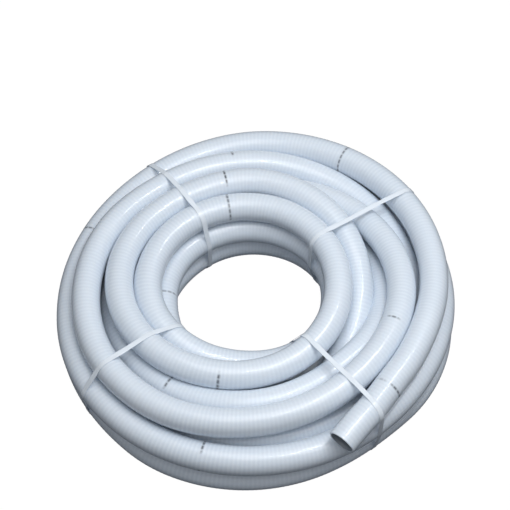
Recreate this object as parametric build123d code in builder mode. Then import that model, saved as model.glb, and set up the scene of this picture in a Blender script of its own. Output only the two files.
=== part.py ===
"""A pool vacuum hose wound into a flat coil and tied with four straps.

The hose is 50 mm flexible PVC with a rigid spiral inside its wall. About ten
turns lie in three layers round an open eye. The outer end leaves the top of the
coil beside a strap and lies over the turn below it, and it can be lifted there.
Origin: the coil's axis, on the floor. +Z is up and -Y is the front.
"""

import os
from math import cos, pi, radians, sin, tan

from build123d import *

# Hose
HOSE_OD = 50.0
HOSE_BORE = 43.0
HOSE_R = HOSE_OD / 2
SPIRAL_PITCH = 7.0
SPIRAL_WIRE = 2.2
SPIRAL_R = (HOSE_OD + HOSE_BORE) / 4
SPIRAL_INSET = 2.5

# Straps
STRAP_ANGLES = {
    "strap_rear_right": 35.0,
    "strap_rear_left": 125.0,
    "strap_front_left": 215.0,
    "strap_front_right": 310.5,
}
STRAP_WIDTH = 8.0
STRAP_THICK = 0.8
STRAP_CLEAR = 0.15
RING_CLEAR = 0.6
HELD_CLEAR = 1.8

# Coil: the centres of the turns in its three layers, as radii and heights
BOTTOM_Z = STRAP_THICK + STRAP_CLEAR + HOSE_R
MIDDLE_Z, TOP_Z = 72.0, 125.0
BOTTOM_ROW = (160.0, 215.0, 270.0, 325.0)
MIDDLE_INNER, MIDDLE_OUTER = 150.0, 312.0
TOP_ROW = (168.0, 218.0, 268.0)
OUTLINE = (
    (BOTTOM_ROW[0], BOTTOM_Z),
    (BOTTOM_ROW[-1], BOTTOM_Z),
    (MIDDLE_OUTER, MIDDLE_Z),
    (TOP_ROW[-1], TOP_Z),
    (TOP_ROW[0], TOP_Z),
    (MIDDLE_INNER, MIDDLE_Z),
)

# Last turn: a tilted ring that climbs out of the middle layer's outer edge
LAST_R = 313.0
LAST_Z = 104.0
LAST_RISE = 28.0
LAST_HIGH_ANGLE = -20.0
LEAVE_ANGLE = -38.0
LAST_ARC = 200.0

# Outer end: off the last turn, down past a strap, then a free stretch with a cut end
HELD_RUN_A = 48.0
HELD_RUN_B = 25.0
DROOP = 4.5
END_LENGTH = 80.0
END_GAP = 0.3

# The last turn's plane, and the route of the outer end
slope = LAST_RISE / LAST_R
high = radians(LAST_HIGH_ANGLE)
last_plane = Plane(
    origin=(0, 0, LAST_Z),
    x_dir=(cos(high), sin(high), slope),
    z_dir=(-slope * cos(high), -slope * sin(high), 1),
)
leave = radians(LEAVE_ANGLE - LAST_HIGH_ANGLE)
leave_point = last_plane.from_local_coords((LAST_R * cos(leave), LAST_R * sin(leave), 0))
ahead_point = last_plane.from_local_coords(
    (LAST_R * cos(leave) + sin(leave), LAST_R * sin(leave) - cos(leave), 0)
)
run_dir = (ahead_point - leave_point).normalized()
lift_axis_dir = run_dir.cross(Vector(0, 0, 1)).normalized()
end_dir = run_dir.rotate(Axis((0, 0, 0), lift_axis_dir), -DROOP)
droop_point = leave_point + run_dir * HELD_RUN_A
root_point = droop_point + end_dir * HELD_RUN_B
end_point = root_point + end_dir * END_LENGTH
droop_radius = 0.45 * HELD_RUN_B / tan(radians(DROOP / 2))
hinge_point = root_point + lift_axis_dir.cross(end_dir) * HOSE_R


def coil_outline():
    """The coil's section: a disc at each turn round the outside, filled between."""
    centres = list(OUTLINE)
    centres += [(radius, BOTTOM_Z) for radius in BOTTOM_ROW[1:-1]]
    centres += [(radius, TOP_Z) for radius in TOP_ROW[1:-1]]
    with BuildSketch(Plane.XZ) as outline:
        with BuildLine():
            Polyline(*OUTLINE, close=True)
        make_face()
        with Locations(*centres):
            Circle(HOSE_R)
    return outline.sketch


def last_turn_at(angle):
    """(radius, height, clearance) of the last turn in the upright plane at an angle."""
    normal = Vector(sin(radians(angle)), -cos(radians(angle)), 0)
    if angle > 270:
        along = -leave_point.dot(normal) / run_dir.dot(normal)
        place = leave_point + run_dir * along
        return place.X / cos(radians(angle)), place.Z, HELD_CLEAR
    rise = LAST_RISE * cos(radians(angle - LAST_HIGH_ANGLE))
    return LAST_R, LAST_Z + rise, RING_CLEAR


def strap_ring(angle):
    """A closed band round the coil's section at an angle, clear of every turn."""
    out_dir = (cos(radians(angle)), sin(radians(angle)), 0)
    side = (sin(radians(angle)), -cos(radians(angle)), 0)
    circles = [(radius, height, STRAP_CLEAR) for radius, height in OUTLINE]
    if not 180 < angle < 270:
        circles.append(last_turn_at(angle))
    with BuildPart() as ring:
        for growth, how in ((STRAP_THICK, Mode.ADD), (0, Mode.SUBTRACT)):
            with BuildSketch(Plane(origin=(0, 0, 0), x_dir=out_dir, z_dir=side)):
                with BuildLine():
                    for radius, height, clear in circles:
                        CenterArc((radius, height), HOSE_R + clear + growth, 0, 360)
                make_hull()
            extrude(amount=STRAP_WIDTH / 2, both=True, mode=how)
    return ring.part


os.makedirs("parts", exist_ok=True)

outline = coil_outline()

# The coil, with its last turn and the stretch that the front right strap holds
with BuildPart() as hose_coil:
    add(outline)
    revolve(axis=Axis.Z)
    with BuildSketch(Plane(origin=leave_point, z_dir=-run_dir)):
        Circle(HOSE_R)
    revolve(axis=Axis(last_plane.origin, last_plane.z_dir), revolution_arc=LAST_ARC)
    with BuildSketch(Plane(origin=leave_point, z_dir=run_dir)):
        Circle(HOSE_R)
    with BuildLine():
        FilletPolyline(leave_point, droop_point, root_point, radius=droop_radius)
    sweep()
hose_coil.part.label = "hose_coil"
export_step(hose_coil.part, "parts/hose_coil.step")

# The rigid spiral, buried in the wall of the free end
start_plane = Plane(origin=root_point + end_dir * END_GAP, z_dir=end_dir)
with BuildPart() as free_end_spiral:
    with BuildLine() as wire:
        Helix(
            SPIRAL_PITCH,
            END_LENGTH - END_GAP - 2 * SPIRAL_INSET,
            SPIRAL_R,
            center=start_plane.origin + end_dir * SPIRAL_INSET,
            direction=end_dir,
        )
    with BuildSketch(Plane(origin=wire.line @ 0, z_dir=wire.line % 0)):
        Circle(SPIRAL_WIRE / 2)
    sweep(is_frenet=True)
free_end_spiral.part.label = "free_end_spiral"
export_step(free_end_spiral.part, "parts/free_end_spiral.step")

# The flexible wall of the free end, with the spiral's channel inside it
with BuildPart() as free_end_wall:
    with BuildSketch(start_plane):
        Circle(HOSE_R)
        Circle(HOSE_BORE / 2, mode=Mode.SUBTRACT)
    extrude(amount=END_LENGTH - END_GAP)
    add(free_end_spiral.part, mode=Mode.SUBTRACT)
free_end_wall.part.label = "free_end_wall"
export_step(free_end_wall.part, "parts/free_end_wall.step")

# The straps
for name, angle in STRAP_ANGLES.items():
    strap = strap_ring(angle)
    strap.label = name
    export_step(strap, f"parts/{name}.step")

section = pi * HOSE_R**2 - pi * (HOSE_BORE / 2) ** 2
end_volume = free_end_wall.part.volume + free_end_spiral.part.volume
print("droop radius, mm:", round(droop_radius, 1))
print("end volume, mm3:", round(end_volume), "against", round(section * (END_LENGTH - END_GAP)))
for name, place in (("leave", leave_point), ("root", root_point), ("end", end_point)):
    print(name, "mm:", [round(value, 4) for value in place])
print("hinge, mm:", [round(value, 4) for value in hinge_point])
print("hinge axis:", [round(value, 9) for value in lift_axis_dir])
print("end direction:", [round(value, 9) for value in end_dir])
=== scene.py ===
"""A pool vacuum hose wound into a flat coil and tied with four straps.

Everything is in metres. The coil's axis is Z, the floor is z = 0 and the front
is -Y. The hose's route is a table of turns, which are then moved apart. Where
they are packed closely they still press into each other, by 6.4 mm at most.
"""

from math import cos, hypot, pi, radians, sin

import bpy
import numpy as np
from mathutils import Matrix, Vector


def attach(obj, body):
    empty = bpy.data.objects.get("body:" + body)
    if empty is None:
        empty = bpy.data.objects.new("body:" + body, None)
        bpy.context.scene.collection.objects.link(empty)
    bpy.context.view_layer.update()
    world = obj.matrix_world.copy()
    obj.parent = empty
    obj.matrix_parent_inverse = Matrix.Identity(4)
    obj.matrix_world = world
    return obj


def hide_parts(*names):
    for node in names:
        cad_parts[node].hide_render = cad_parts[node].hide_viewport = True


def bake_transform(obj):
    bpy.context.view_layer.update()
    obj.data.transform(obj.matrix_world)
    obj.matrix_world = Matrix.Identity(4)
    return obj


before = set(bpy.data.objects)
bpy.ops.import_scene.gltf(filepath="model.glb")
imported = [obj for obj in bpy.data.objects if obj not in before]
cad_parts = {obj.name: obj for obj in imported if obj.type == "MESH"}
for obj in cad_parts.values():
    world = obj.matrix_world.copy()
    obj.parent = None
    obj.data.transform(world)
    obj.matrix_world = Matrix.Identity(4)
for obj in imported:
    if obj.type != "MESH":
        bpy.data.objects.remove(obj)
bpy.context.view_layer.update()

# Hose
OD = 0.050
R = OD / 2
BORE_R = 0.0215
RIB_PITCH = 0.0070
RIB_HEIGHT = 0.00018
RINGS_PER_RIB = 4
AROUND = 28
CUT_EDGE = 0.0005
BORE_DEPTH = 0.20
BORE_STEP = 0.01
# Distance along the hose where its two meshes meet, a whole number of ribs
SEAM = 79 * RIB_PITCH
# Spacing of the points that say where each mesh runs
OUTER_PATH_STEP = 0.01
WOUND_PATH_STEP = 0.015

# Camera
CAMERA_ELEVATION = radians(55.7)
CAMERA_DISTANCE = 3.0
CAMERA_TARGET = Vector((0.0, 0.0, 0.060))
CAMERA_TURN_RIGHT = radians(0.1744)
CAMERA_TURN_UP = radians(1.680)
CAMERA_LENS = 120.565
SENSOR = 36.0

# The outer end's route, within 5 mm of the CAD model's
LEAVE = Vector((0.2430, -0.1895, 0.1285))
ROOT = Vector((0.1985, -0.2520, 0.1254))
END = Vector((0.1487, -0.3100, 0.1185))
END_ARCH = Vector((0.0, 0.0, 0.004))
END_DIR = (END - ROOT).normalized()

STRAP_AZIMUTHS = {
    "strap_rear_right": 35.0,
    "strap_rear_left": 122.8,
    "strap_front_left": 215.0,
    "strap_front_right": 308.6,
}
STRAP_WIDTH = 0.009
STRAP_THICK = 0.0006

# Thin broken strokes part way round the hose: their distance from its outer end,
# their middle and half length in turns round it (0 faces out, 0.25 up), and strength
RING_MARKS = (
    (0.124, 0.07, 0.13, 1.0),
    (0.124, 0.33, 0.06, 0.4),
    (0.701, 0.33, 0.22, 0.8),
    (1.240, 0.22, 0.14, 0.8),
    (1.803, 0.31, 0.10, 1.0),
    (1.803, 0.92, 0.05, 1.0),
    (6.704, 0.16, 0.07, 0.9),
    (7.874, 0.27, 0.06, 0.8),
    (8.960, 0.26, 0.10, 1.0),
    (11.227, 0.24, 0.12, 1.0),
    (11.807, 0.04, 0.13, 1.0),
    (12.402, 0.32, 0.20, 0.9),
    (13.593, 0.27, 0.16, 0.6),
)
RING_MARK_WIDTH = 0.0035
STRAP_GAP = 0.0001
STRAP_STEP = 0.006
STRAP_TURN_STEP = 3.0
# How much a strap swells and ripples in width, as shares, and how far it drifts
STRAP_SWELL = 0.05
STRAP_RIPPLE = 0.04
STRAP_DRIFT = 0.0005
# A strap's section: share of its half width, and of its thickness
STRAP_SECTION = (
    (-1, 0),
    (-0.5, 0),
    (0, 0),
    (0.5, 0),
    (1, 0),
    (1, 0.7),
    (0.93, 1),
    (0.45, 1),
    (0, 0.85),
    (-0.45, 1),
    (-0.93, 1),
    (-1, 0.7),
)

# Colours, and dashes round the hose in a mark
WALL_DEEP = (0.615, 0.69, 0.78, 1)
WALL_PALE = (0.64, 0.71, 0.795, 1)
SPIRAL_DEEP = (0.66, 0.735, 0.82, 1)
SPIRAL_PALE = (0.685, 0.755, 0.835, 1)
DUST = (0.55, 0.57, 0.60, 1)
MARK_DARK = (0.06, 0.07, 0.09, 1)
# Painted shade: the bore's lining colour is darker than the PVC, so the inside of the hose's
# mouth looks shaded
BORE_PAINTED_SHADE = (0.24, 0.28, 0.33, 1)
STRAP_DEEP = (0.77, 0.85, 0.94, 1)
STRAP_PALE = (0.87, 0.93, 0.99, 1)
DASHES = 16

# Floor and light
SWEEP_R = 25.0
SWEEP_SIDES = 48
SKY_LOW = (0.06, 0.07, 0.09)
SKY_MIDDLE = (0.30, 0.31, 0.33)
SKY_HIGH = (1.0, 1.0, 1.0)
SKY_STRENGTH = 0.6
# Where those colours stand, from 0 straight down to 1 straight up
SKY_LOW_AT = 0.30
SKY_MIDDLE_AT = 0.55
SKY_HIGH_AT = 0.95
# name, place, direction of the long side, length, width, power
LAMPS = (
    ("key_wide", (0.45, -0.25, 2.15), (1.0, 0.0, 0.0), 1.7, 1.7, 21.0),
    ("key_strip", (0.68, 0.02, 2.12), (0.6, 0.8, 0.0), 1.50, 0.09, 11.0),
)

# The turns from the outer end inwards, in hose diameters: radius and height at
# the right, far, left and front. A third value of 0 is a place out of sight.
TURNS = (
    ((6.36, 2.42), (6.67, 1.95), (6.20, 1.48), (6.39, 1.51)),
    ((6.63, 1.44), (6.50, 0.52, 0), (5.95, 0.52, 0), (6.38, 0.52)),
    ((6.66, 0.52), (6.00, 0.52, 0), (5.40, 0.52, 0), (5.41, 1.15)),
    ((5.62, 1.45), (5.58, 2.20), (5.64, 2.25), (5.35, 2.25)),
    ((5.24, 2.34), (4.92, 1.44), (4.75, 1.25), (4.40, 1.75)),
    ((4.62, 1.25), (4.35, 0.52, 0), (4.15, 0.52, 0), (4.60, 0.52, 0)),
    ((3.85, 1.50), (4.57, 2.40), (4.50, 2.30), (3.47, 2.15)),
    ((3.05, 2.50), (3.39, 2.45), (3.55, 2.30), (2.68, 1.50)),
    ((3.05, 1.45), (3.18, 1.45), (3.02, 1.50), (3.00, 0.55, 0)),
    ((3.25, 0.52), (3.28, 0.52), (3.13, 0.52, 0), (3.60, 0.52, 0)),
)
# More places on them, as (turns from the right side, radius, height)
EXTRA_PLACES = (
    (-0.083, 6.13, 2.58),
    (-0.035, 6.22, 2.56),
    (0.125, 6.70, 2.24),
    (0.311, 6.43, 1.80),
    (0.375, 6.22, 1.68),
    (0.436, 6.16, 1.58),
    (0.578, 6.35, 1.45),
    (0.642, 6.39, 1.48),
    (0.856, 6.37, 1.49),
    (0.910, 6.44, 1.48),
    (0.936, 6.50, 1.46),
    (1.611, 6.12, 0.52),
    (1.650, 6.30, 0.52),
    (1.678, 6.37, 0.52),
    (1.819, 6.27, 0.52),
    (1.864, 6.20, 0.52),
    (1.900, 6.42, 0.52),
    (1.942, 6.60, 0.52),
    (3.125, 5.80, 1.75),
    (3.311, 5.45, 2.22),
    (3.361, 5.42, 2.24),
    (3.417, 5.53, 2.25),
    (3.583, 5.75, 2.25),
    (3.630, 5.69, 2.25),
    (3.678, 5.62, 2.25),
    (3.861, 5.13, 2.40),
    (3.908, 5.10, 2.40),
    (4.125, 5.06, 1.95),
    (4.875, 4.10, 1.45),
    (5.900, 3.86, 1.30),
    (6.125, 4.22, 2.22),
    (6.311, 4.47, 2.38),
    (7.550, 3.46, 2.20),
    (7.625, 3.13, 1.92),
    (8.625, 3.10, 0.95),
    (9.125, 3.36, 0.52),
    (9.375, 3.13, 0.52),
)
# Where the outer end leaves them: quarter turns, radius, height and sight
LEAVE_KNOT = (-38 / 90, 6.17, 2.57, 1.0)
STATIONS = 24
FIRST_STATION = -2
LINE_RESOLUTION = 12
LOWEST = 0.52

# How the turns are spread apart, with gaps in diameters
SPREAD_STEPS = 400
SEEN_HOLD = 0.9
NEIGHBOUR_PULL = 0.25
HOME_PULL_ACROSS = 0.10
HOME_PULL = 0.02
TURN_GAP = 0.99
OUTER_RUN_GAP = 1.01
PUSH = 0.6
FAR_FROM_ITSELF = 9


def smooth_through(x, y, at):
    """A smooth curve through the points (x, y), read at the places in at."""
    slopes = np.empty(len(x))
    slopes[1:-1] = (y[2:] - y[:-2]) / (x[2:] - x[:-2])
    slopes[0] = (y[1] - y[0]) / (x[1] - x[0])
    slopes[-1] = (y[-1] - y[-2]) / (x[-1] - x[-2])
    left = np.clip(np.searchsorted(x, at, side="right") - 1, 0, len(x) - 2)
    width = x[left + 1] - x[left]
    t = (at - x[left]) / width
    return (
        (2 * t**3 - 3 * t**2 + 1) * y[left]
        + (t**3 - 2 * t**2 + t) * width * slopes[left]
        + (3 * t**2 - 2 * t**3) * y[left + 1]
        + (t**3 - t**2) * width * slopes[left + 1]
    )


def turn_targets():
    """Radius, height and sight at every station of every turn, in diameters."""
    knots = [LEAVE_KNOT]
    knots += [(turns * 4, radius, height, 1.0) for turns, radius, height in EXTRA_PLACES]
    for turn, sides in enumerate(TURNS):
        for side, (radius, height, *hidden) in enumerate(sides):
            knots.append((turn * 4 + side, radius, height, 0.0 if hidden else 1.0))
    knots = np.array(sorted(knots))
    last = int(knots[-1, 0] * STATIONS / 4)
    at = np.arange(FIRST_STATION, last + 1) * 4.0 / STATIONS
    return [smooth_through(knots[:, 0], knots[:, column], at) for column in (1, 2, 3)]


def outer_run_crossings():
    """Where the outer end's straight run crosses the stations' planes."""
    found = {}
    for station in range(STATIONS):
        angle = 2 * pi * station / STATIONS
        normal = Vector((-sin(angle), cos(angle), 0))
        for start, stop in ((LEAVE, ROOT), (ROOT, END + END_DIR * R)):
            step = stop - start
            along = -start.dot(normal) / step.dot(normal)
            place = start + step * along
            if 0 <= along <= 1 and place.x * cos(angle) + place.y * sin(angle) > 0:
                found[station] = (hypot(place.x, place.y) / OD, place.z / OD)
    return found


def spread_turns(radius, height, seen):
    """Push overlapping turns apart, while those in sight are pulled back to their places.

    A turn in sight moves along the line of sight, and hardly across it.
    """
    target = np.column_stack([radius, height])
    seen = np.clip(seen, 0, 1)[:, None]
    index = np.arange(len(target)) + FIRST_STATION
    azimuth = 2 * pi * index / STATIONS
    across = np.column_stack(
        [np.full(len(target), sin(CAMERA_ELEVATION)), cos(CAMERA_ELEVATION) * np.sin(azimuth)]
    )
    across /= np.linalg.norm(across, axis=1)[:, None]
    ease = (1 - SEEN_HOLD * seen)[:, :, None] * across[:, :, None] * across[:, None, :]
    along = np.column_stack([-across[:, 1], across[:, 0]])
    ease = ease + along[:, :, None] * along[:, None, :]
    groups = [np.nonzero(index % STATIONS == station)[0] for station in range(STATIONS)]
    fixed = outer_run_crossings()
    places = target.copy()
    for _ in range(SPREAD_STEPS):
        moved = places - target
        moved[1:-1] += NEIGHBOUR_PULL * (moved[:-2] + moved[2:] - 2 * moved[1:-1])
        sideways = (moved * across).sum(1)[:, None] * across
        moved -= seen * (HOME_PULL_ACROSS * sideways + HOME_PULL * moved)
        places = target + moved
        for station, group in enumerate(groups):
            here = places[group]
            free = ease[group]
            apart = here[:, None] - here[None]
            gap = np.hypot(apart[..., 0], apart[..., 1]) + np.eye(len(group)) * FAR_FROM_ITSELF
            normal = apart / gap[..., None]
            give = np.einsum("abi,aij->abj", normal, free)
            reach = (give * normal).sum(-1)
            push = np.maximum(0, TURN_GAP - gap) / (reach + reach.T + np.eye(len(group)))
            here = here + PUSH * (give * push[..., None]).sum(1)
            if station in fixed:
                apart = here - np.array(fixed[station])
                gap = np.hypot(apart[:, 0], apart[:, 1])
                here = here + apart * (np.maximum(0, OUTER_RUN_GAP - gap) / gap)[:, None]
            here[:, 1] = np.maximum(here[:, 1], LOWEST)
            places[group] = here
    return places


def route_points():
    """The route's control points from the outer end to the hidden one."""
    places = spread_turns(*turn_targets())
    angles = 2 * pi * (np.arange(len(places)) + FIRST_STATION) / STATIONS
    # The spline's radius is this share of its control points' radius
    inside = 0.75 + 0.25 * cos(2 * pi / STATIONS)
    reach = places[:, 0] * OD / inside
    run = (ROOT - LEAVE).normalized()
    points = [
        END,
        END.lerp(ROOT, 0.5) + END_ARCH,
        ROOT,
        ROOT.lerp(LEAVE, 0.4),
        LEAVE + run * 0.008,
    ]
    points += [
        Vector((r * cos(a), r * sin(a), z * OD)) for r, a, z in zip(reach, angles, places[:, 1])
    ]
    return points


def curve_line(name, points, resolution):
    """The points that a smooth open curve passes through, in order."""
    data = bpy.data.curves.new(name, "CURVE")
    data.dimensions = "3D"
    data.resolution_u = resolution
    spline = data.splines.new("NURBS")
    spline.points.add(len(points) - 1)
    for point, place in zip(spline.points, points):
        point.co = (*place, 1.0)
    spline.order_u = 3
    spline.use_endpoint_u = True
    holder = bpy.data.objects.new(name, data)
    bpy.context.scene.collection.objects.link(holder)
    bpy.context.view_layer.update()
    mesh = bpy.data.meshes.new_from_object(holder)
    line = np.array([vertex.co for vertex in mesh.vertices])
    bpy.data.meshes.remove(mesh)
    bpy.data.objects.remove(holder)
    bpy.data.curves.remove(data)
    return line


class Route:
    """The hose's centre line, read by the distance from its outer end."""

    def __init__(self, line):
        steps = np.linalg.norm(np.diff(line, axis=0), axis=1)
        self.line = line
        self.at = np.concatenate([[0], np.cumsum(steps)])
        self.length = self.at[-1]

    def place(self, along):
        """Points on the line, and on its tangents past either end."""
        inside = np.clip(along, 0, self.length)
        found = np.column_stack([np.interp(inside, self.at, self.line[:, i]) for i in range(3)])
        head = self.line[0] - self.line[1]
        tail = self.line[-1] - self.line[-2]
        found += np.maximum(0, -along)[:, None] * head / np.linalg.norm(head)
        found += np.maximum(0, along - self.length)[:, None] * tail / np.linalg.norm(tail)
        return found

    def frames(self, along):
        """Tangent and two side directions with no twist, at rising distances."""
        reach = 0.006
        tangent = self.place(along + reach) - self.place(along - reach)
        tangent /= np.linalg.norm(tangent, axis=1)[:, None]
        side = np.cross(tangent, (0, 0, 1.0))
        side /= np.linalg.norm(side, axis=1)[:, None]
        return tangent, side, np.cross(side, tangent)


def hose_mesh(name, route, rows):
    """A closed tube of rows (distance along, radius, ribbed 0 or 1).

    Its UVs are metres along and turns round.
    """
    rows = np.array(rows)
    along, radius, ribbed = rows.T
    place = route.place(along)
    tangent, side, up = route.frames(along)
    turn = np.arange(AROUND) / AROUND
    angle = 2 * pi * turn
    phase = along[:, None] / RIB_PITCH - turn[None]
    reach = radius[:, None] - RIB_HEIGHT / 2 * ribbed[:, None] * (1 - np.cos(2 * pi * phase))
    vertices = (
        place[:, None]
        + reach[..., None] * np.cos(angle)[None, :, None] * side[:, None]
        + reach[..., None] * np.sin(angle)[None, :, None] * up[:, None]
    ).reshape(-1, 3)
    count = len(rows)
    row, column = np.meshgrid(np.arange(count - 1), np.arange(AROUND), indexing="ij")
    beside = (column + 1) % AROUND
    start = row * AROUND
    corners = np.stack(
        [start + column, start + beside, start + AROUND + beside, start + AROUND + column],
        axis=-1,
    ).reshape(-1, 4)
    u = np.stack([along[row], along[row], along[row + 1], along[row + 1]], axis=-1)
    v = np.stack([column, column + 1, column + 1, column], axis=-1) / AROUND
    uv = np.stack([u, v], axis=-1).reshape(-1, 2)
    faces = corners.tolist()
    first = list(range(AROUND - 1, -1, -1))
    last = list(range((count - 1) * AROUND, count * AROUND))
    faces += [first, last]
    cap_uv = [(along[0], 0.0)] * AROUND + [(along[-1], 0.0)] * AROUND
    mesh = bpy.data.meshes.new(name)
    mesh.from_pydata(vertices.tolist(), [], faces)
    layer = mesh.uv_layers.new(name="hose")
    layer.data.foreach_set("uv", np.concatenate([uv, cap_uv]).astype(np.float32).ravel())
    mesh.polygons.foreach_set("use_smooth", [True] * len(corners) + [False, False])
    mark = np.zeros((count, AROUND))
    for at, middle, half, strength in RING_MARKS:
        on_line = np.clip(1.5 - np.abs(along - at) / (RING_MARK_WIDTH / 2), 0, 1) * (ribbed > 0)
        from_middle = np.abs((turn - middle + 0.5) % 1 - 0.5)
        on_arc = np.clip((half - from_middle) * AROUND + 0.5, 0, 1)
        mark = np.maximum(mark, strength * on_line[:, None] * on_arc[None])
    shade = mesh.attributes.new("ring_mark", "FLOAT", "POINT")
    shade.data.foreach_set("value", mark.ravel().astype(np.float32))
    # Mask of the rows inside the bore, where the material paints shade into the lining's colour
    bore_shade_mask = mesh.attributes.new("bore", "FLOAT", "POINT")
    bore_shade_mask.data.foreach_set("value", np.repeat(radius <= BORE_R, AROUND).astype(np.float32))
    mesh.update()
    piece = bpy.data.objects.new(name, mesh)
    bpy.context.scene.collection.objects.link(piece)
    return piece


def cut_end_rows(inward):
    """Rows up the bore and over the cut edge; inward is +1 at the start, -1 at the end."""
    depths = np.arange(BORE_DEPTH, 2 * CUT_EDGE, -BORE_STEP)
    return [(inward * deep, BORE_R, 0.0) for deep in depths] + [
        (inward * CUT_EDGE, BORE_R, 0.0),
        (0.0, BORE_R + CUT_EDGE, 0.0),
        (0.0, R - CUT_EDGE - RIB_HEIGHT / 2, 0.0),
        (inward * CUT_EDGE, R - RIB_HEIGHT / 2, 0.0),
    ]


def wall_rows(start, stop):
    """Rows along the ribbed outside."""
    step = RIB_PITCH / RINGS_PER_RIB
    inner = np.arange(np.ceil(start / step + 0.3), np.floor(stop / step - 0.3) + 1) * step
    return [(s, R, 1.0) for s in (start, *inner, stop)]


def strap_outline(route, azimuth):
    """The tight closed line round the hoses that cross a strap's half plane."""
    outward = np.array((cos(azimuth), sin(azimuth), 0.0))
    normal = np.array((-sin(azimuth), cos(azimuth), 0.0))
    turn = np.radians(np.arange(0, 360, STRAP_TURN_STEP))
    ways = np.column_stack([np.cos(turn), np.sin(turn)])
    found = []
    for shift in (-STRAP_WIDTH / 2, 0.0, STRAP_WIDTH / 2):
        beside = route.line @ normal - shift
        for i in np.nonzero(beside[:-1] * beside[1:] < 0)[0]:
            step = route.line[i + 1] - route.line[i]
            place = route.line[i] + step * beside[i] / (beside[i] - beside[i + 1])
            if place @ outward < 0:
                continue
            tangent = step / np.linalg.norm(step)
            lean = np.array((tangent @ outward, tangent[2])) / abs(tangent @ normal)
            found.append((place @ outward, place[2], *lean))
    centre = np.array(found)[:, :2]
    lean = np.array(found)[:, 2:]
    reach = ways + (ways @ lean.T).T[..., None] * lean[:, None]
    size = np.sqrt(1 + (lean @ ways.T) ** 2)
    support = centre @ ways.T + R * size
    best = support.argmax(0)
    every = np.arange(len(turn))
    outline = centre[best] + R * reach[best, every] / size[best, every][:, None]
    dense = []
    for i, place in enumerate(outline):
        step = outline[(i + 1) % len(outline)] - place
        parts = max(1, int(np.linalg.norm(step) / STRAP_STEP))
        dense += [place + step * part / parts for part in range(parts)]
    return np.array(dense), outward, normal


def strap_mesh(name, route, azimuth):
    """A thin film ribbon round the coil, a little uneven in width.

    Its UVs are metres along and shares of the way round its section.
    """
    outline, outward, normal = strap_outline(route, azimuth)
    count = len(outline)
    ahead = np.roll(outline, -1, axis=0) - np.roll(outline, 1, axis=0)
    ahead /= np.linalg.norm(ahead, axis=1)[:, None]
    away = np.column_stack([ahead[:, 1], -ahead[:, 0]])
    steps = np.linalg.norm(np.roll(outline, -1, axis=0) - outline, axis=1)
    along = np.concatenate([[0], np.cumsum(steps)])
    whole = along[-1]
    wave = 2 * pi * along[:-1] / whole
    swell = STRAP_SWELL * np.sin(9 * wave + azimuth)
    ripple = STRAP_RIPPLE * np.sin(23 * wave)
    half = STRAP_WIDTH / 2 * (1 + swell + ripple)
    drift = STRAP_DRIFT * np.sin(5 * wave + 2 * azimuth)
    vertices = []
    for i in range(count):
        for side, lift in STRAP_SECTION:
            place = outline[i] + away[i] * (STRAP_GAP + STRAP_THICK * lift)
            spot = outward * place[0] + normal * (drift[i] + half[i] * side)
            vertices.append((spot[0], spot[1], place[1]))
    across = len(STRAP_SECTION)
    faces = []
    uvs = []
    for i in range(count):
        for j in range(across):
            k = (j + 1) % across
            n = (i + 1) % count
            faces.append((i * across + j, n * across + j, n * across + k, i * across + k))
            uvs += [(along[i], j / across), (along[i + 1], j / across)]
            uvs += [(along[i + 1], (j + 1) / across), (along[i], (j + 1) / across)]
    mesh = bpy.data.meshes.new(name)
    mesh.from_pydata(vertices, [], faces)
    layer = mesh.uv_layers.new(name="strap")
    layer.data.foreach_set("uv", np.array(uvs, dtype=np.float32).ravel())
    mesh.update()
    mesh.polygons.foreach_set("use_smooth", [True] * len(faces))
    piece = bpy.data.objects.new(name, mesh)
    bpy.context.scene.collection.objects.link(piece)
    return piece


class Nodes:
    """A material's node tree, with short ways to add and join nodes."""

    def __init__(self, name):
        self.material = bpy.data.materials.new(name)
        self.material.use_nodes = True
        self.tree = self.material.node_tree
        self.shader = self.tree.nodes["Principled BSDF"]

    def add(self, kind, settings=(), **inputs):
        """Add a node; an input called i0, i1 and so on is a socket's number."""
        node = self.tree.nodes.new("ShaderNode" + kind)
        for key, value in dict(settings).items():
            setattr(node, key, value)
        for key, value in inputs.items():
            numbered = key[0] == "i" and key[1:].isdigit()
            self.put(node.inputs[int(key[1:]) if numbered else key], value)
        return node

    def put(self, socket, value):
        if isinstance(value, bpy.types.NodeSocket):
            self.tree.links.new(value, socket)
        else:
            socket.default_value = value

    def math(self, operation, a, b=0.0, c=0.0):
        return self.add("Math", {"operation": operation}, i0=a, i1=b, i2=c).outputs[0]

    def noise(self, vector, scale, detail=2.0, roughness=0.5):
        looks = {"Scale": scale, "Detail": detail, "Roughness": roughness}
        node = self.add("TexNoise", {}, Vector=vector, **looks)
        return node.outputs["Fac"]

    def spread(self, value, low, high, to_low=0.0, to_high=1.0):
        limits = {"i1": low, "i2": high, "i3": to_low, "i4": to_high}
        node = self.add("MapRange", {"clamp": True}, i0=value, **limits)
        return node.outputs[0]

    def mix(self, share, first, second):
        node = self.add("Mix", {"data_type": "RGBA"}, i0=share, i6=first, i7=second)
        return node.outputs[2]

    def set(self, name, value):
        self.put(self.shader.inputs[name], value)


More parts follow.
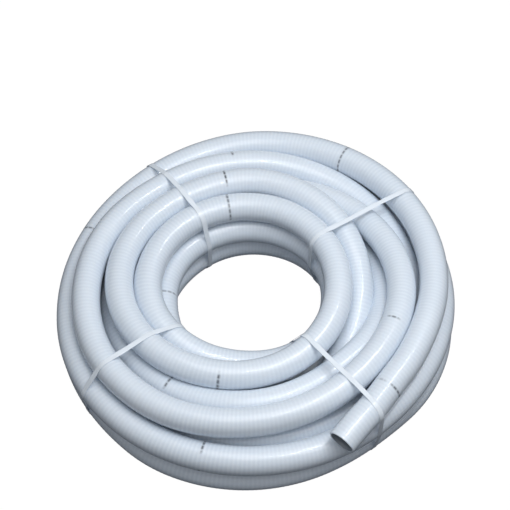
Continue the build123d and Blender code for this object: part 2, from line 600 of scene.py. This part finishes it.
def hose_material():
    """Glossy bluish-white PVC: a paler stiff spiral in a slightly darker wall."""
    nodes = Nodes("hose_pvc_look")
    uv = nodes.add("UVMap", {"uv_map": "hose"}).outputs[0]
    split = nodes.add("SeparateXYZ", {}, Vector=uv)
    place = nodes.add("TexCoord").outputs["Object"]
    ribs = nodes.math("DIVIDE", split.outputs[0], RIB_PITCH)
    phase = nodes.math("SUBTRACT", ribs, split.outputs[1])
    height = nodes.math("COSINE", nodes.math("MULTIPLY", phase, 2 * pi))
    rib = nodes.math("MULTIPLY_ADD", height, 0.5, 0.5)
    milky = nodes.noise(place, 6.0, 3.0)
    cloud = nodes.noise(place, 45.0, 4.0, 0.6)
    wall = nodes.mix(nodes.spread(milky, 0.35, 0.65), WALL_DEEP, WALL_PALE)
    spiral = nodes.mix(nodes.spread(cloud, 0.3, 0.7), SPIRAL_DEEP, SPIRAL_PALE)
    colour = nodes.mix(nodes.spread(rib, 0.25, 0.85, 0.0, 0.8), wall, spiral)
    dust = nodes.spread(nodes.noise(place, 160.0, 5.0, 0.7), 0.60, 0.78, 0.0, 0.25)
    colour = nodes.mix(dust, colour, DUST)
    mark = nodes.add("Attribute", {"attribute_name": "ring_mark"}).outputs["Fac"]
    dash = nodes.math("SINE", nodes.math("MULTIPLY", split.outputs[1], 2 * pi * DASHES))
    dash = nodes.spread(dash, -0.7, -0.1, 0.45, 1.0)
    stroke = nodes.math("MULTIPLY", mark, nodes.math("MULTIPLY", dash, 0.95))
    colour = nodes.mix(stroke, colour, MARK_DARK)
    # Painted shade: the bore's lining is darkened in colour, standing in for the shadow inside
    # the hose's mouth
    bore = nodes.add("Attribute", {"attribute_name": "bore"}).outputs["Fac"]
    colour = nodes.mix(bore, colour, BORE_PAINTED_SHADE)
    nodes.set("Base Color", colour)
    worn = nodes.noise(place, 30.0, 6.0, 0.65)
    nodes.set("Roughness", nodes.spread(worn, 0.3, 0.7, 0.38, 0.52))
    nodes.set("IOR", 1.53)
    nodes.set("Subsurface Weight", 0.12)
    nodes.set("Subsurface Radius", (0.004, 0.005, 0.006))
    nodes.set("Coat Weight", 0.6)
    nodes.set("Coat Roughness", 0.05)
    grain = nodes.math("MULTIPLY", nodes.noise(place, 420.0, 3.0), 0.35)
    grain = nodes.math("ADD", grain, nodes.math("MULTIPLY", rib, 0.25))
    bump = nodes.add("Bump", {}, Strength=0.35, Distance=0.0003, Height=grain)
    nodes.set("Normal", bump.outputs[0])
    return nodes.material


def strap_material():
    """White stretched film, with fine lines along it."""
    nodes = Nodes("strap_film_look")
    uv = nodes.add("UVMap", {"uv_map": "strap"}).outputs[0]
    stretched = nodes.add("Mapping", {}, Vector=uv, Scale=(40.0, 60.0, 1.0)).outputs[0]
    lines = nodes.noise(stretched, 1.0, 4.0, 0.7)
    colour = nodes.mix(nodes.spread(lines, 0.3, 0.7), STRAP_DEEP, STRAP_PALE)
    nodes.set("Base Color", colour)
    nodes.set("Roughness", nodes.spread(lines, 0.3, 0.7, 0.30, 0.18))
    nodes.set("Coat Weight", 0.3)
    nodes.set("Alpha", 0.82)
    bump = nodes.add("Bump", {}, Strength=0.5, Distance=0.0002, Height=lines)
    nodes.set("Normal", bump.outputs[0])
    return nodes.material


# The camera looks down the eye line, then turns up and right
eye_line = Vector((0.0, -cos(CAMERA_ELEVATION), sin(CAMERA_ELEVATION)))
camera_data = bpy.data.cameras.new("camera")
camera_data.sensor_width = SENSOR
camera_data.lens = CAMERA_LENS
camera_data.clip_end = 50.0
camera = bpy.data.objects.new("camera", camera_data)
bpy.context.scene.collection.objects.link(camera)
turn_x = -CAMERA_TURN_RIGHT
turn_y = CAMERA_TURN_UP
forward = -eye_line
upward = Vector((0.0, sin(CAMERA_ELEVATION), cos(CAMERA_ELEVATION)))
sideways = Vector((1.0, 0.0, 0.0))
forward, upward = (
    forward * cos(turn_y) + upward * sin(turn_y),
    upward * cos(turn_y) - forward * sin(turn_y),
)
forward, sideways = (
    forward * cos(turn_x) - sideways * sin(turn_x),
    sideways * cos(turn_x) + forward * sin(turn_x),
)
place = CAMERA_TARGET + eye_line * CAMERA_DISTANCE
camera.matrix_world = Matrix(
    (
        (sideways.x, upward.x, -forward.x, place.x),
        (sideways.y, upward.y, -forward.y, place.y),
        (sideways.z, upward.z, -forward.z, place.z),
        (0.0, 0.0, 0.0, 1.0),
    )
)
bpy.context.scene.camera = camera

# The hose
route = Route(curve_line("hose_line", route_points(), LINE_RESOLUTION))
outer = hose_mesh("hose_outer_end", route, cut_end_rows(1) + wall_rows(2 * CUT_EDGE, SEAM))
end_rows = [(route.length + at, radius, ribbed) for at, radius, ribbed in cut_end_rows(-1)]
wound_rows = wall_rows(SEAM, route.length - 2 * CUT_EDGE) + end_rows[::-1]
wound = hose_mesh("hose_wound", route, wound_rows)
pvc = hose_material()
for piece in (outer, wound):
    piece.data.materials.append(pvc)
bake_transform(outer)
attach(wound, "coil")
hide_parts("free_end_wall", "free_end_spiral")
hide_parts("hose_coil")
near = [tuple(point) for point in route.place(np.arange(0, SEAM, OUTER_PATH_STEP))][::-1]
far = [tuple(point) for point in route.place(np.arange(SEAM, route.length, WOUND_PATH_STEP))]

# The straps
film = strap_material()
for node, degrees in STRAP_AZIMUTHS.items():
    strap = strap_mesh(node + "_film", route, radians(degrees))
    strap.data.materials.append(film)
    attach(strap, "coil")
    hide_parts(node)

# Floor and backdrop: a white sweep that glows, seen by the camera alone
sweep_turns = [2 * pi * i / SWEEP_SIDES for i in range(SWEEP_SIDES)]
sweep = [(SWEEP_R * cos(a), SWEEP_R * sin(a), z) for z in (0.0, SWEEP_R) for a in sweep_turns]
sweep_faces = [tuple(range(SWEEP_SIDES))]
for i in range(SWEEP_SIDES):
    beside = (i + 1) % SWEEP_SIDES
    sweep_faces.append((i, beside, SWEEP_SIDES + beside, SWEEP_SIDES + i))
floor_mesh = bpy.data.meshes.new("floor")
floor_mesh.from_pydata(sweep, [], sweep_faces)
floor = bpy.data.objects.new("floor", floor_mesh)
bpy.context.scene.collection.objects.link(floor)
paint = Nodes("floor_white")
paint.set("Base Color", (0.02, 0.02, 0.02, 1.0))
paint.set("Roughness", 1.0)
paint.set("Specular IOR Level", 0.0)
paint.set("Emission Color", (1.0, 1.0, 1.0, 1.0))
paint.set("Emission Strength", 1.0)
floor_mesh.materials.append(paint.material)
floor.visible_diffuse = False
floor.visible_glossy = False
floor.visible_transmission = False
floor.visible_shadow = False

# Studio light: bright overhead, dim and bluish from below, with lamps aimed at the origin
world = bpy.data.worlds.new("studio")
bpy.context.scene.world = world
world.use_nodes = True
sky = world.node_tree
ways = sky.nodes.new("ShaderNodeTexCoord")
split = sky.nodes.new("ShaderNodeSeparateXYZ")
ramp = sky.nodes.new("ShaderNodeValToRGB")
height = sky.nodes.new("ShaderNodeMapRange")
height.inputs[1].default_value = -1.0
sky.links.new(ways.outputs["Generated"], split.inputs[0])
sky.links.new(split.outputs[2], height.inputs[0])
sky.links.new(height.outputs[0], ramp.inputs[0])
ramp.color_ramp.elements[0].position = SKY_LOW_AT
ramp.color_ramp.elements[0].color = (*SKY_LOW, 1.0)
ramp.color_ramp.elements[1].position = SKY_HIGH_AT
ramp.color_ramp.elements[1].color = (*SKY_HIGH, 1.0)
middle = ramp.color_ramp.elements.new(SKY_MIDDLE_AT)
middle.color = (*SKY_MIDDLE, 1.0)
sky.links.new(ramp.outputs[0], sky.nodes["Background"].inputs["Color"])
sky.nodes["Background"].inputs["Strength"].default_value = SKY_STRENGTH
for name, place, along, length, width, power in LAMPS:
    lamp_data = bpy.data.lights.new(name, "AREA")
    lamp_data.shape = "RECTANGLE"
    lamp_data.size = length
    lamp_data.size_y = width
    lamp_data.energy = power
    lamp = bpy.data.objects.new(name, lamp_data)
    back = Vector(place).normalized()
    side = Vector(along) - back * back.dot(Vector(along))
    side.normalize()
    up = back.cross(side)
    lamp.matrix_world = Matrix((side, up, back)).transposed().to_4x4()
    lamp.location = place
    bpy.context.scene.collection.objects.link(lamp)
bpy.context.scene.view_settings.view_transform = "Standard"
